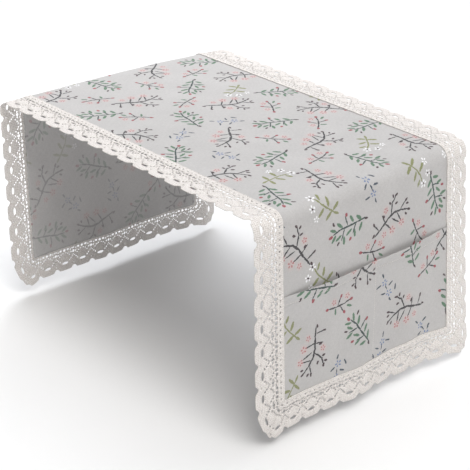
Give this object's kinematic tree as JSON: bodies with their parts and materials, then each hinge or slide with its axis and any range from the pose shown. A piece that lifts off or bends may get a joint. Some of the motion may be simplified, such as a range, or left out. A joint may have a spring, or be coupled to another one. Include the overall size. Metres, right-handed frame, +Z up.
{
  "type": "microwave cover",
  "caption": "Draped floral cotton and linen cover with a flap on each side, a patch pocket and a scalloped lace trim, for a countertop oven.",
  "frame": {"origin": "middle of the underside of the top, where the cover rests on the appliance", "axes": "+X to the right across the cover, along its flaps; +Y from front to back; +Z up"},
  "size_m": [0.5187, 0.3671, 0.2859],
  "materials": {
    "printed_cloth": "plain woven cotton and linen, light warm grey, with a small floral print",
    "cotton_lace": "cream cotton bobbin lace, matt"
  },
  "bodies": {
    "root": {"cloth": "printed_cloth", "pocket": "printed_cloth", "lace_front": "cotton_lace", "lace_back": "cotton_lace", "lace_hem_left": "cotton_lace", "lace_hem_right": "cotton_lace"}
  },
  "joints": []
}
